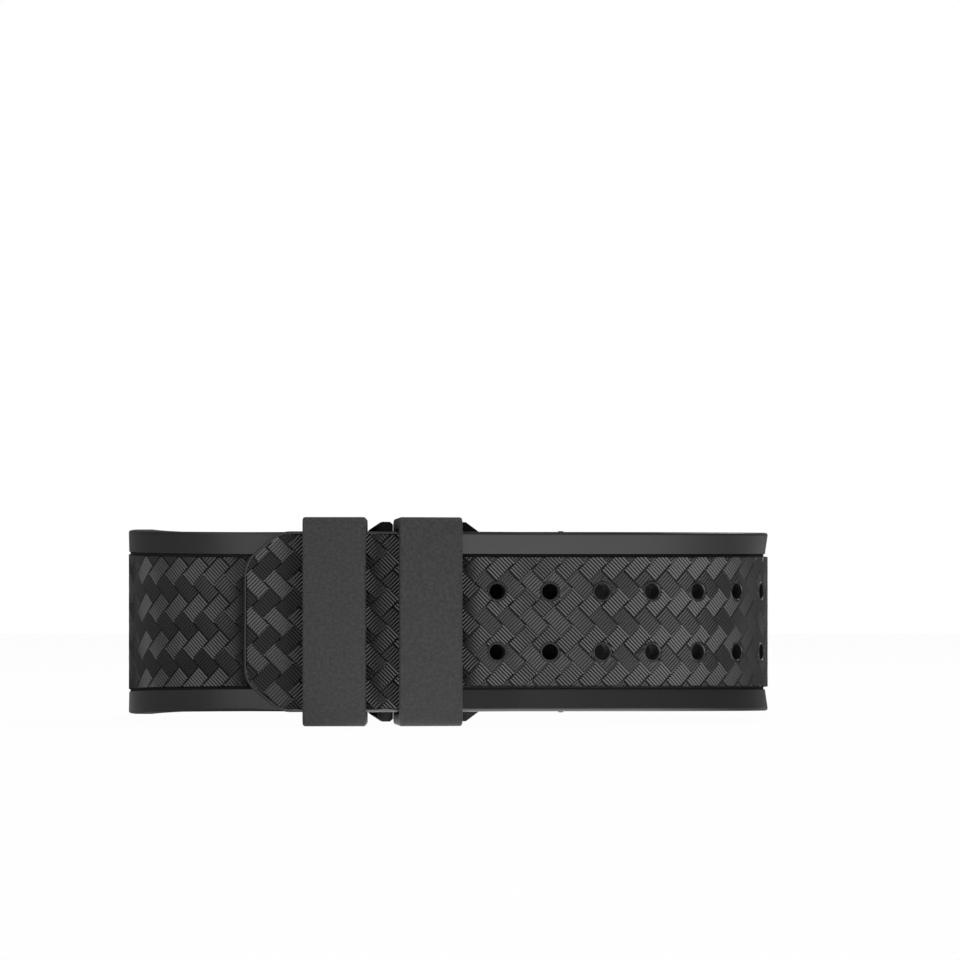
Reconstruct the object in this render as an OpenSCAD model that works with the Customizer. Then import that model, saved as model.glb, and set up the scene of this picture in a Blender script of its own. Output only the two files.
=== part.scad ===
// Rubber watch strap, buckled: a long strap with two rows of holes laid over a short strap,
// a closure plate with two studs under a fixed keeper, a floating keeper and spring bars.
// The loop stands on its edge: Z is the strap's width, and the closure faces -Y.

/* [Strap moulding] */
// Width of both straps at the closure
strap_w = 22; // [18:0.5:26]
// Width of both straps at the watch case
lug_w = 23.8; // [22:0.1:28]
// Thickness of the rubber
strap_t = 2.8; // [2.4:0.1:3.4]
// Width of the edge bands beside the raised woven panel
band_w = 3.1; // [2:0.1:4.5]
// Width of the groove beside the panel
groove_w = 0.4; // [0.2:0.05:0.8]
// Depth of that groove
groove_d = 0.55; // [0.3:0.05:0.9]
// Depth of the long strap's edge band where it meets the groove
band_dip = 0.35; // [0.1:0.05:0.5]
// Depth of the short strap's edge band where it meets the groove
short_band_dip = 0.05; // [0:0.05:0.5]
// Bevel along the outer edges
edge_bevel = 0.3; // [0.1:0.05:0.5]
// Bevel along the edges on the wrist side
wrist_bevel = 0.45; // [0.1:0.05:0.8]

/* [Loop shape] */
// Flat stretch of the short strap from its eye to the first bend
short_flat = 8.4; // [7:0.1:14]
// Radius of the short strap's shoulder
short_shoulder_r = 28; // [20:1:40]
// Turn of the short strap's shoulder in degrees
short_shoulder_turn = 36.5; // [30:0.5:45]
// Radius of the short strap's side
short_side_r = 12.2; // [9:0.1:18]
// Straight stretch in the short strap's side
short_side_flat = 2; // [0.5:0.5:6]
// Radius of the short strap's back
short_back_r = 28; // [22:1:34]
// Radius of the short strap near the watch case
short_end_r = 45; // [35:1:60]
// Radius of the long strap's shoulder
long_shoulder_r = 37; // [28:1:48]
// Turn of the long strap's shoulder in degrees
long_shoulder_turn = 37; // [30:0.5:45]
// Radius of the long strap's side
long_side_r = 17; // [12:0.5:22]
// Radius of the long strap's back
long_back_r = 22; // [18:1:30]
// Radius of the long strap near the watch case
long_end_r = 60; // [45:1:80]
// Length of the zone on each side in which the strap is bent to open the loop
bend_len = 8; // [5:0.5:12]

/* [Tail and holes] */
// Flat stretch of the tail from its tip to the closure
tail_flat = 14; // [13:0.1:20]
// Half height of the tip's straight edge
tip_flat = 5.7; // [4:0.1:8]
// Slope of the tip's corners in degrees
tip_slope = 39.7; // [30:0.1:50]
// Rounding of the tip's corners
tip_r = 3.5; // [1:0.1:3.5]
// Diameter of the holes
hole_d = 1.9; // [1.6:0.1:2.4]
// Diameter of the rim round each hole
hole_rim_d = 2.3; // [2:0.1:3]
// Spacing of the holes along the strap
hole_pitch = 6.5; // [5:0.1:8]
// Spacing of the two rows of holes
row_gap = 7.4; // [5:0.1:10]
// Distance from the tip to the pair of holes that the studs fill
first_hole = 24.55; // [23.5:0.05:25]
// Number of pairs of holes
hole_pairs = 8; // [3:1:8]

/* [Closure] */
// Slope of the closure plate in degrees
closure_tilt = 6.5; // [4:0.5:9]
// Slope of the long strap past the closure plate in degrees
ramp_tilt = 12; // [10:0.5:14]
// Length of the long strap's straight ramp past the closure plate
ramp_len = 4.6; // [4:0.1:6]
// Distance from the middle of the closure bar to the plate's far end
plate_reach = 12.35; // [11.5:0.05:13]
// Thickness of the closure plate
plate_t = 1.2; // [0.8:0.1:1.4]
// Height of the plate over the tips of its ears
ear_span = 24.5; // [24:0.1:25]
// Height of the plate between its ears
plate_w = 21.8; // [21:0.1:22]
// Width of the eye at the end of the short strap
eye_w = 19.2; // [16:0.1:20]
// Outer diameter of that eye
eye_d = 2.5; // [2.2:0.1:2.6]
// Thickness of the flap that lies between the plate and the wrist
flap_t = 0.9; // [0.6:0.1:1.2]
// Length of the flap's end, past the plate
flap_end = 10.6; // [6:0.1:14]
// Diameter of the studs' stems
stud_d = 1.7; // [1.2:0.1:1.7]
// Diameter of the studs' heads
stud_head_d = 2.5; // [2:0.1:3]
// Thickness of the studs' heads
stud_head_t = 0.32; // [0.2:0.02:0.4]
// Diameter of the studs' shanks in the plate
stud_shank_d = 1.16; // [0.8:0.02:1.4]

/* [Keepers] */
// Width of a keeper along the strap
keeper_w = 7.7; // [5:0.1:8]
// Overall height of a keeper
keeper_h = 25.4; // [25.2:0.1:27]
// Height of a keeper's opening
keeper_open_h = 22.6; // [22.3:0.1:23]
// Depth of a keeper's opening
keeper_open_d = 6.4; // [6.3:0.1:7]
// Thickness of a keeper's front wall
keeper_front = 1.3; // [0.8:0.1:1.8]
// Thickness of a keeper's back wall
keeper_back = 1.1; // [0.8:0.1:1.6]
// Rounding of a keeper's outer corners
keeper_r = 0.9; // [0.5:0.1:1.2]
// Play of the strap under the front wall of the floating keeper
keeper_play = 0.25; // [0.2:0.05:0.5]

/* [Spring bars] */
// Diameter of a spring bar's barrel
bar_d = 1.5; // [1.3:0.1:1.7]
// Bore of the barrel
bar_bore_d = 1.2; // [1.1:0.05:1.25]
// Diameter of a tip's nose, which sits in the lug's hole
nose_d = 0.7; // [0.6:0.05:0.75]
// Length of the nose outside its flange
nose_len = 0.5; // [0.4:0.1:0.8]
// Diameter of the stem between a tip's flange and the piston in the barrel
stem_d = 0.3; // [0.2:0.05:0.35]
// Thickness of a tip's flange
flange_t = 0.3; // [0.2:0.05:0.4]
// Travel of a tip
tip_travel = 0.9; // [0.7:0.1:1.2]
// Outer diameter of the eye round the lug bar at the end of each strap
lug_eye_d = 3.8; // [3.2:0.1:4.6]
// Turns of the spring in a barrel
spring_turns = 12; // [6:1:16]

/* [Hidden] */
$fn = 96;

rubber = [0.24, 0.24, 0.25];
keeper_rubber = [0.30, 0.30, 0.31];
black_plate = [0.09, 0.09, 0.10];
steel = [0.66, 0.67, 0.69];

lay_gap = 0.1;
fit = 0.06;
over = 1;
half_w = strap_w / 2;
half_lug = lug_w / 2;

// The loop's own plan has the short strap's outer face at y = 0 and the closure bar on this axis.
bar_x = -8.85;
bar_y = 1.5;
neck_x = -11;
tail_end_x = -11.2;
tail_bend_r = 20;
ramp_r = 6;
plain_len = 4.4;
fade_len = 1;
closure_len = 10.27;
landing = 2.9;
side_turn = 90;
back_turn = 60;
end_turn = 15;

// Where each strap starts and stops widening along Y, and how deep its bands lie at the groove.
short_form = [0.5, 20, short_band_dip];
long_form = [0, 40, band_dip];

// A path is a list of stretches [length, radius, turn], straight where the turn is 0. A positive
// turn bends towards the wrist, and the radius is that of the outer face.
function normal(h) = [-sin(h), cos(h)];
function along(h) = [cos(h), sin(h)];
function stretch_len(s) = s[2] == 0 ? s[0] : s[1] * abs(s[2]) * PI / 180;
function part_of(s, d) = s[2] == 0 ? [d, 0, 0] : [0, s[1], s[2] * d / stretch_len(s)];
function moved(pose, s) =
    s[2] == 0 ? [pose[0] + s[0] * along(pose[1]), pose[1]]
    : [pose[0] + sign(s[2]) * s[1] * (normal(pose[1]) - normal(pose[1] + s[2])), pose[1] + s[2]];
function end_pose(path, pose, i = 0) = i == len(path) ? pose : end_pose(path, moved(pose, path[i]), i + 1);
function pose_at(path, pose, d, i = 0) =
    i == len(path) - 1 || d <= stretch_len(path[i]) ? moved(pose, part_of(path[i], d))
    : pose_at(path, moved(pose, path[i]), d - stretch_len(path[i]), i + 1);
function below(pose, depth) = pose[0] + depth * normal(pose[1]);

long_tail = [[tail_flat, 0, 0], [0, tail_bend_r, closure_tilt], [plain_len, 0, 0]];
long_front = [[closure_len - plain_len - fade_len, 0, 0], [0, tail_bend_r, ramp_tilt - closure_tilt],
              [ramp_len, 0, 0], [0, ramp_r, -ramp_tilt], [landing, 0, 0],
              [0, long_shoulder_r, long_shoulder_turn], [0, long_side_r, side_turn - long_shoulder_turn]];
long_bend_turn = bend_len / long_back_r * 180 / PI;
long_bend = [[0, long_back_r, long_bend_turn]];
long_lug = [[0, long_back_r, back_turn - long_bend_turn], [0, long_end_r, end_turn]];
long_start = [[tail_end_x - tail_flat, -lay_gap - strap_t], 0];
long_all = concat(long_tail, [[fade_len, 0, 0]], long_front);

// The short strap's paths run towards +X, and its solids are mirrored.
short_front = [[short_flat, 0, 0], [0, short_shoulder_r, short_shoulder_turn],
               [0, short_side_r, side_turn - short_shoulder_turn], [short_side_flat, 0, 0]];
short_bend_turn = bend_len / short_back_r * 180 / PI;
short_bend = [[0, short_back_r, short_bend_turn]];
short_lug = [[0, short_back_r, back_turn - short_bend_turn], [0, short_end_r, end_turn]];
short_start = [[-neck_x, 0], 0];

long_front_start = end_pose(concat(long_tail, [[fade_len, 0, 0]]), long_start);
long_bend_start = end_pose(long_front, long_front_start);
long_lug_start = end_pose(long_bend, long_bend_start);
long_eye = below(end_pose(long_lug, long_lug_start), strap_t / 2);
short_bend_start = end_pose(short_front, short_start);
short_lug_start = end_pose(short_bend, short_bend_start);
short_eye = below(end_pose(short_lug, short_lug_start), strap_t / 2);

// The closure plate's own frame: u runs along the plate from the closure bar, w towards the wrist.
bar_at = [bar_x, bar_y];
closure_start = end_pose([long_tail[0], long_tail[1]], long_start);
function to_micron(x) = round(x * 1000) / 1000;
strap_inner_w = to_micron((closure_start[0] - bar_at) * normal(closure_tilt) + strap_t);
strap_outer_w = strap_inner_w - strap_t;
plate_top = strap_inner_w + lay_gap;
flap_top = plate_top + plate_t + lay_gap;
stud_u = to_micron((pose_at(long_all, long_start, first_hole)[0] - bar_at) * along(closure_tilt));
stud_rise = 0.05;
head_room = 0.15;
slab_start = 1.75;
arm_r = 1.3;
arm_in = 10.1;
arm_end = 1.6;
ear_start = 10;
keeper_u = 5.83;
fixed_front_w = strap_outer_w - stud_rise - stud_head_t - head_room - keeper_front;
floating_x = -14.15;
floating_front_y = -lay_gap - strap_t - keeper_play - keeper_front;

// The origin is at the middle of the loop's outline, on the surface that the keepers stand on.
back_y = max(long_eye[1], short_eye[1]) + lug_eye_d / 2;
origin = [(long_bend_start[0][0] - short_bend_start[0][0]) / 2, (floating_front_y + back_y) / 2, -keeper_h / 2];
module in_frame() { translate(-origin) children(); }
module placed(pose) { translate([pose[0][0], pose[0][1], 0]) rotate([0, 0, pose[1]]) children(); }
module closure_frame() { in_frame() placed([bar_at, closure_tilt]) children(); }

// Sections across the strap as [depth below the outer face, height], with the same points in each.
draft = 0.08;
function both_edges(side) =
    concat([for (p = side) [p[0], -p[1]]], [for (i = [len(side) - 1 : -1 : 0]) side[i]]);
function strap_section(h, relief = 0, dip = 0) =
    let (panel = h - band_w)
    both_edges([[strap_t, h - wrist_bevel], [strap_t - wrist_bevel, h], [edge_bevel, h], [0, h - edge_bevel],
                [dip, panel + groove_w], [groove_d * relief, panel + groove_w - draft],
                [groove_d * relief, panel + draft], [0, panel]]);
function neck_section() =
    [for (q = strap_section(eye_w / 2)) [min(max(q[0], bar_y - eye_d / 2), bar_y + eye_d / 2), q[1]]];
function flap_section(h) = [[flap_t, -h], [0, -h], [0, h], [flap_t, h]];

// Poses along a path: the ends of every stretch, and a pose every few degrees in its bends.
step_turn = 4.5;
function steps(s) = s[2] == 0 ? 1 : ceil(abs(s[2]) / step_turn);
function stations(path, pose) =
    concat([pose], [for (i = [0 : len(path) - 1])
        let (from = end_pose([for (j = [0 : 1 : i - 1]) path[j]], pose))
        for (k = [1 : steps(path[i])]) moved(from, part_of(path[i], stretch_len(path[i]) * k / steps(path[i])))]);
function half_at(pose, form) =
    half_w + (half_lug - half_w) * min(1, max(0, (pose[0][1] - form[0]) / (form[1] - form[0])));
function strap_sections(at, form) = [for (p = at) strap_section(half_at(p, form), 1, form[2])];

// One closed solid through a list of rings with the same number of points.
module skin(rings) {
    n = len(rings[0]);
    last = (len(rings) - 1) * n;
    sides = [for (i = [0 : len(rings) - 2]) for (j = [0 : n - 1])
        let (a = i * n + j, b = i * n + (j + 1) % n)
        each [[a, b, b + n], [a, b + n, a + n]]];
    ends = [[for (j = [n - 1 : -1 : 0]) j], [for (j = [0 : n - 1]) last + j]];
    polyhedron([for (r = rings) each r], concat(sides, ends));
}
module sweep(at, sections) {
    skin([for (i = [0 : len(at) - 1]) [for (q = sections[i]) [each below(at[i], q[0]), q[1]]]]);
}
module strap_run(path, pose, form) {
    at = stations(path, pose);
    sweep(at, strap_sections(at, form));
}

// A hole through the long strap, square to its face, with a small countersink.
module hole(pose, z) {
    translate([0, 0, z]) placed(pose) rotate([-90, 0, 0]) {
        translate([0, 0, -over]) cylinder(d = hole_d, h = strap_t + 2 * over);
        translate([0, 0, -over]) cylinder(d1 = hole_rim_d + 2 * over, d2 = hole_rim_d - 2 * draft, h = over + draft);
    }
}

// What the tip's two corners lose, in elevation from the tip.
module tip_corners() {
    edge = [for (a = [180 : -8 : 90 + tip_slope]) [tip_r, tip_flat] + tip_r * along(a)];
    reach = (half_w - tip_r - tip_flat) / sin(tip_slope);
    shoulder = [for (a = [90 + tip_slope : -8 : 90]) [tip_r, tip_flat] + reach * along(tip_slope) + tip_r * along(a)];
    outside = [[tip_r + reach * cos(tip_slope), half_w], [tip_r + reach, half_w + over], [-over, half_w + over], [-over, tip_flat]];
    for (side = [0, 1])
        mirror([0, 0, side]) translate([long_start[0][0], over, 0]) rotate([90, 0, 0])
            linear_extrude(strap_t + 3 * over) polygon(concat(edge, shoulder, outside));
}

module long_strap_front() color(rubber) in_frame() difference() {
    tail = stations(long_tail, long_start);
    front = stations(long_front, long_front_start);
    sweep(concat(tail, front), concat([for (p = tail) strap_section(half_w)], strap_sections(front, long_form)));
    tip_corners();
    for (i = [0 : hole_pairs - 1], z = [-row_gap / 2, row_gap / 2])
        hole(pose_at(long_all, long_start, first_hole + i * hole_pitch), z);
}
module long_strap_bend() color(rubber) in_frame() strap_run(long_bend, long_bend_start, long_form);
module long_strap_lug_end() color(rubber) in_frame() lug_end(long_lug, long_lug_start, long_eye, long_form);
module short_strap_bend() color(rubber) in_frame() mirror([1, 0, 0])
    strap_run(short_bend, short_bend_start, short_form);
module short_strap_lug_end() color(rubber) in_frame() mirror([1, 0, 0])
    lug_end(short_lug, short_lug_start, short_eye, short_form);

// The end of a strap at the watch case, thickened round its spring bar.
module lug_end(path, pose, eye, form) {
    difference() {
        union() {
            strap_run(path, pose, form);
            upright(eye, lug_eye_d, lug_w);
        }
        upright(eye, bar_d + 2 * fit, lug_w + over);
    }
}
module upright(at, d, h) { translate([at[0], at[1], 0]) cylinder(d = d, h = h, center = true); }

// The short strap from its side to the eye on the closure bar, with the flap under the plate.
module short_strap_front() color(rubber) in_frame() difference() {
    flap = stations([[plate_reach, 0, 0], [0, ramp_r, -closure_tilt], [flap_end, 0, 0]],
                    [below([bar_at, closure_tilt], flap_top), closure_tilt]);
    neck = [[[-bar_x, 0], 0], short_start];
    body = stations(short_front, short_start);
    union() {
        mirror([1, 0, 0])
            sweep(concat(neck, body), concat([for (p = neck) neck_section()], strap_sections(body, short_form)));
        upright(bar_at, eye_d, eye_w);
        sweep(flap, [for (p = flap) flap_section(eye_w / 2 - fit)]);
    }
    upright(bar_at, bar_d + 2 * fit, eye_w + over);
}

// A keeper is one moulded ring. The strap passes along X.
module rounded(depth, height, r) {
    translate([r, -height / 2]) square([depth - 2 * r, height]);
    translate([0, r - height / 2]) square([depth, height - 2 * r]);
    for (y = [r, depth - r], z = [r - height / 2, height / 2 - r])
        translate([y, z]) circle(r);
}
module keeper() {
    rotate([90, 0, 90]) linear_extrude(keeper_w, center = true) difference() {
        rounded(keeper_front + keeper_open_d + keeper_back, keeper_h, keeper_r);
        translate([keeper_front, 0]) rounded(keeper_open_d, keeper_open_h, keeper_r / 3);
    }
}
module floating_keeper() color(keeper_rubber) in_frame() translate([floating_x, floating_front_y, 0]) keeper();
module fixed_keeper() color(keeper_rubber) closure_frame() translate([keeper_u, fixed_front_w, 0]) keeper();

// The closure plate: a slab with a bevelled ear at each corner, and a notch for the fixed keeper.
module elevation(outline, w0, w1) { translate([0, w1, 0]) rotate([90, 0, 0]) linear_extrude(w1 - w0) polygon(outline); }
module closure_plate() color(black_plate) closure_frame() difference() {
    top = ear_span / 2;
    side = plate_w / 2;
    slab = [[slab_start, side], [ear_start, side], [ear_start, top], [ear_start + 0.6, top],
            [plate_reach, side + 0.1], [plate_reach, -side - 0.1], [ear_start + 0.6, -top], [ear_start, -top],
            [ear_start, -side], [slab_start, -side]];
    arm = [[-arm_r - 0.1, arm_in], [-arm_r - 0.1, side + 0.25], [0.25, top], [arm_end - 0.35, top],
           [arm_end, top - 0.35], [arm_end, side], [slab_start + over, side], [slab_start + over, arm_in]];
    union() {
        elevation(slab, plate_top, plate_top + plate_t);
        for (flip = [0, 1])
            mirror([0, 0, flip]) intersection() {
                elevation(arm, -arm_r - over, arm_r + over);
                union() {
                    cylinder(r = arm_r, h = ear_span, center = true);
                    translate([0, plate_top, -ear_span / 2]) cube([slab_start + 2 * over, plate_t, ear_span]);
                }
            }
    }
    cylinder(d = nose_d + 2 * fit, h = ear_span + over, center = true);
    for (z = [-row_gap / 2, row_gap / 2])
        translate([stud_u, plate_top - over, z]) rotate([-90, 0, 0]) cylinder(d = stud_shank_d + 0.04, h = plate_t + 2 * over);
    translate([ear_start, plate_top, -ear_span]) rotate([0, 0, 9]) translate([0, -over, 0]) cube([plate_reach, over, 2 * ear_span]);
}
module closure_studs() color(black_plate) closure_frame() {
    stem = lay_gap + strap_t + stud_rise;
    for (z = [-row_gap / 2, row_gap / 2])
        translate([stud_u, plate_top, z]) rotate([90, 0, 0]) {
            translate([0, 0, -plate_t]) cylinder(d = stud_shank_d, h = plate_t);
            cylinder(d = stud_d, h = stem);
            translate([0, 0, stem]) cylinder(d1 = stud_head_d, d2 = stud_head_d - stud_head_t, h = stud_head_t);
        }
}

// A spring bar stands on Z. Its flanges' outer faces are at plus and minus reach.
lip = 0.6;
lip_fit = 0.02;
piston_len = 3.4;
wire_d = 0.2;
function barrel_half(reach) = reach - flange_t - tip_travel - lay_gap;
function piston_out(reach) = barrel_half(reach) - lip - lip_fit;
module bar_at_axis(at) { in_frame() translate([at[0], at[1], 0]) children(); }
module bar_barrel(reach) {
    half = barrel_half(reach);
    difference() {
        cylinder(d = bar_d, h = 2 * half, center = true);
        cylinder(d = bar_bore_d, h = 2 * (half - lip), center = true);
        cylinder(d = stem_d + 2 * lip_fit, h = 2 * half + over, center = true);
    }
}
module bar_tip(reach, up) {
    rotate([up ? 0 : 180, 0, 0]) {
        translate([0, 0, piston_out(reach) - piston_len]) cylinder(d = bar_bore_d - 0.06, h = piston_len);
        translate([0, 0, piston_out(reach) - piston_len]) cylinder(d = stem_d, h = reach - piston_out(reach) + piston_len);
        translate([0, 0, reach - flange_t]) cylinder(d = bar_d, h = flange_t);
        translate([0, 0, reach - flange_t]) cylinder(d = nose_d, h = flange_t + nose_len);
    }
}
module bar_spring(reach) {
    half = piston_out(reach) - piston_len - wire_d;
    mean_r = (bar_bore_d - wire_d) / 2 - 2 * lip_fit;
    count = spring_turns * 10;
    skin([for (i = [0 : count]) let (a = i * 36, z = half * (2 * i / count - 1), w = wire_d / 2)
        [for (q = [[w, 0], [0, w], [-w, 0], [0, -w]]) [each ((mean_r + q[0]) * along(a)), z + q[1]]]]);
}
closure_reach = arm_in - 0.05;
lug_reach = half_lug;
short_eye_at = [-short_eye[0], short_eye[1]];
module closure_bar_barrel() color(steel) bar_at_axis(bar_at) bar_barrel(closure_reach);
module closure_bar_upper_tip() color(steel) bar_at_axis(bar_at) bar_tip(closure_reach, true);
module closure_bar_lower_tip() color(steel) bar_at_axis(bar_at) bar_tip(closure_reach, false);
module closure_bar_spring() color(steel) bar_at_axis(bar_at) bar_spring(closure_reach);
module long_lug_bar_barrel() color(steel) bar_at_axis(long_eye) bar_barrel(lug_reach);
module long_lug_bar_upper_tip() color(steel) bar_at_axis(long_eye) bar_tip(lug_reach, true);
module long_lug_bar_lower_tip() color(steel) bar_at_axis(long_eye) bar_tip(lug_reach, false);
module long_lug_bar_spring() color(steel) bar_at_axis(long_eye) bar_spring(lug_reach);
module short_lug_bar_barrel() color(steel) bar_at_axis(short_eye_at) bar_barrel(lug_reach);
module short_lug_bar_upper_tip() color(steel) bar_at_axis(short_eye_at) bar_tip(lug_reach, true);
module short_lug_bar_lower_tip() color(steel) bar_at_axis(short_eye_at) bar_tip(lug_reach, false);
module short_lug_bar_spring() color(steel) bar_at_axis(short_eye_at) bar_spring(lug_reach);

long_strap_front();
long_strap_bend();
long_strap_lug_end();
short_strap_front();
short_strap_bend();
short_strap_lug_end();
floating_keeper();
fixed_keeper();
closure_plate();
closure_studs();
closure_bar_barrel();
closure_bar_upper_tip();
closure_bar_lower_tip();
closure_bar_spring();
long_lug_bar_barrel();
long_lug_bar_upper_tip();
long_lug_bar_lower_tip();
long_lug_bar_spring();
short_lug_bar_barrel();
short_lug_bar_upper_tip();
short_lug_bar_lower_tip();
short_lug_bar_spring();
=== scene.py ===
import math

import bmesh
import bpy
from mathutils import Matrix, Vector
from mathutils.geometry import delaunay_2d_cdt


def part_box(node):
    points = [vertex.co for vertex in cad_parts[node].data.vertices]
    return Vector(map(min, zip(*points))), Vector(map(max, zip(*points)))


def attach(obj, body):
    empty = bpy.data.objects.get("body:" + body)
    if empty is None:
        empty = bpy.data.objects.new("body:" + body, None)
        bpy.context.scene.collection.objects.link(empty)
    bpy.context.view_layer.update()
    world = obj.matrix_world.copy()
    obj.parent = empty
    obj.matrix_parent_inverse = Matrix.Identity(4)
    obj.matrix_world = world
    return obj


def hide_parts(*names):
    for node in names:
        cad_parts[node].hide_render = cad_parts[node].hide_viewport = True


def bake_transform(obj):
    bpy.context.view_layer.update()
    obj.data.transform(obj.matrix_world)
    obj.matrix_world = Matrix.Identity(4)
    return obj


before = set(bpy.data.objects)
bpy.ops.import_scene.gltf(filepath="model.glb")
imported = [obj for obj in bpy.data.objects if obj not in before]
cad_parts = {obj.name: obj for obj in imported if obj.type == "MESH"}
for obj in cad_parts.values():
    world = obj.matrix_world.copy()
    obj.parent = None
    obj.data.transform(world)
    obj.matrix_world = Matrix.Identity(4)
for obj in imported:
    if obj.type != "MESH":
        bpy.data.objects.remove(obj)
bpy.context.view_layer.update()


# The long strap: one moulding of fluororubber with a woven relief, pressed hot in a steel mould.
# Its tail is woven over the full width. From the closure on, smooth edge bands with a groove run
# beside the woven panel, and its end is thickened to an eye round a spring bar.

MM = 0.001
STRAP_T = 2.8
HALF_W = 11.0
HALF_LUG = 11.9
BAND_W = 3.1
PANEL = HALF_W - BAND_W
# The straps' lines are drawn from the middle of the closure. The frame's origin is the loop's middle.
PLAN_ORIGIN = (-0.0764, 21.0705)
MID_Z = 12.7
CLOSURE_TILT = 6.5


def in_loop(x, y, z):
    """A point in metres, from millimetres in the loop's plan and above the straps' middle line."""
    return (x * MM, y * MM, (z + MID_Z) * MM)


def stretch(length, radius, turn):
    """Length of one stretch of a line: a flat, or a bend of a radius through a turn in degrees."""
    return length if turn == 0 else radius * math.radians(abs(turn))


def path_length(path):
    """Length of a whole line."""
    return sum(stretch(*part) for part in path)


def path_pose(path, start, s):
    """Place and heading in degrees after s millimetres along a moulding's outer face."""
    x, y, heading = start
    for i, (length, radius, turn) in enumerate(path):
        full = stretch(length, radius, turn)
        step = s if i == len(path) - 1 else min(s, full)
        if turn == 0:
            x += step * math.cos(math.radians(heading))
            y += step * math.sin(math.radians(heading))
        else:
            after = heading + turn * step / full
            side = math.copysign(radius, turn)
            x += side * (math.sin(math.radians(after)) - math.sin(math.radians(heading)))
            y += side * (math.cos(math.radians(heading)) - math.cos(math.radians(after)))
            heading = after
        s -= step
        if s <= 0:
            break
    return x, y, heading


# Most millimetres, and most degrees of a bend, between two cross lines of a strap, and the least
# millimetres before its last one.
STATION_GAP = 2.5
LAST_GAP = 0.4


def path_stations(path, end):
    """Distances of the cross lines: at the ends of each stretch, and at even steps within it."""
    stops, s = [], 0.0
    for part in path:
        full = stretch(*part)
        count = max(1, math.ceil(abs(part[2]) / STATION_GAP), math.ceil(full / STATION_GAP))
        stops += [s + full * k / count for k in range(count)]
        s += full
    return [stop for stop in stops if stop < end - LAST_GAP] + [end]


class Moulding:
    """A strap's line, and where a point of its unrolled face lies in the loop."""

    def __init__(self, path, start, mirrored, taper, dip, groove):
        self.path, self.start, self.mirrored, self.taper = path, start, mirrored, taper
        self.dip, self.groove = dip, groove

    def half(self, y):
        """Half the width, which grows from the buckle to the watch."""
        low, high = self.taper
        return HALF_W + (HALF_LUG - HALF_W) * min(1.0, max(0.0, (y - low) / (high - low)))

    def place(self, s, z, depth):
        """The point at a distance s along the strap, z across it and a depth below its crests."""
        x, y, heading = path_pose(self.path, self.start, s)
        panel = self.half(y) - BAND_W
        wide = z * panel / PANEL if abs(z) <= PANEL else math.copysign(panel + abs(z) - PANEL, z)
        x -= depth * math.sin(math.radians(heading))
        y += depth * math.cos(math.radians(heading))
        x = -x if self.mirrored else x
        return in_loop(x - PLAN_ORIGIN[0], y - PLAN_ORIGIN[1], wide)


# The relief copies a woven cloth: oblong cells at 45 degrees, each with nine ribs across it, 0.35 mm
# apart. The crests are level with the smooth face, and the seams between cells are the low lines.
CELL_H = 2.856
CELL_V = 4.5
CELL_W = CELL_H / math.sqrt(2)
CELL_L = CELL_V / math.sqrt(2)
CELL_ROWS = 4
CELL_REACH = 5
RIBS = 9
RIB_DEPTH = 0.13
RIB_END = 0.14
DIAGONAL = math.sqrt(0.5)


def weave_cells(s0, s1, phase, hand):
    """Centres and leans of the cells between two distances along the strap."""
    first = math.floor((s0 - phase[0]) / CELL_H) - 1
    last = math.ceil((s1 - phase[0]) / CELL_H) + 1
    for i in range(first, last + 1):
        for j in range(-CELL_ROWS, CELL_ROWS + 1):
            yield phase[0] + i * CELL_H, phase[1] + j * CELL_V, hand
            yield phase[0] + (i + 0.5) * CELL_H, phase[1] + (j + 0.5) * CELL_V, -hand


def cell_lines(cs, cz, lean):
    """One cell's outline, the crests and valleys of its ribs, and their worn ends."""
    def at(run, stack):
        return cs + (run + stack) * DIAGONAL, cz + lean * (run - stack) * DIAGONAL

    w, l, e = CELL_W / 2, CELL_L / 2, CELL_W / 2 - RIB_END
    stacks = [-l + CELL_L * k / (2 * RIBS) for k in range(2 * RIBS + 1)]
    lines = [(at(-w, -l), at(w, -l)), (at(w, -l), at(w, l)), (at(w, l), at(-w, l)), (at(-w, l), at(-w, -l))]
    lines += [(at(-e, stack), at(e, stack)) for stack in stacks[1:-1]]
    for run in (-e, e, RIB_END / 2 - w, w - RIB_END / 2):
        lines += [(at(run, a), at(run, b)) for a, b in zip(stacks[1:-1], stacks[2:-1])]
    for side, end in ((-1, -1), (-1, 1), (1, -1), (1, 1)):
        valley = at(side * (w - RIB_END / 2), end * stacks[-2])
        lines += [(at(side * e, end * stacks[-2]), valley), (valley, at(side * w, end * l))]
    return lines


def weave_depth(s, z, phase, hand):
    """How far below the crests the woven face lies, by the nearest cell."""
    near = []
    for shift, lean in ((0.0, hand), (0.5, -hand)):
        i = math.floor((s - phase[0]) / CELL_H - shift)
        j = math.floor((z - phase[1]) / CELL_V - shift)
        for a in (i, i + 1):
            for b in (j, j + 1):
                ds = s - phase[0] - (a + shift) * CELL_H
                dz = z - phase[1] - (b + shift) * CELL_V
                run, stack = (ds + lean * dz) * DIAGONAL, (ds - lean * dz) * DIAGONAL
                near.append((max(abs(run) - CELL_W / 2, abs(stack) - CELL_L / 2), run, stack))
    _, run, stack = min(near, key=lambda cell: cell[0])
    ribs = (stack + CELL_L / 2) / CELL_L * RIBS
    height = abs(2 * (ribs - math.floor(ribs)) - 1)
    end = max(0.0, CELL_W / 2 - abs(run)) / (RIB_END / 2)
    border = 1 - 2 * min(ribs, RIBS - ribs)
    if border > 0:
        return RIB_DEPTH * (1 - max(border, 1 - end))
    return RIB_DEPTH * (1 - (1 - end if end < 1 else height * min(1.0, end - 1)))


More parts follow.
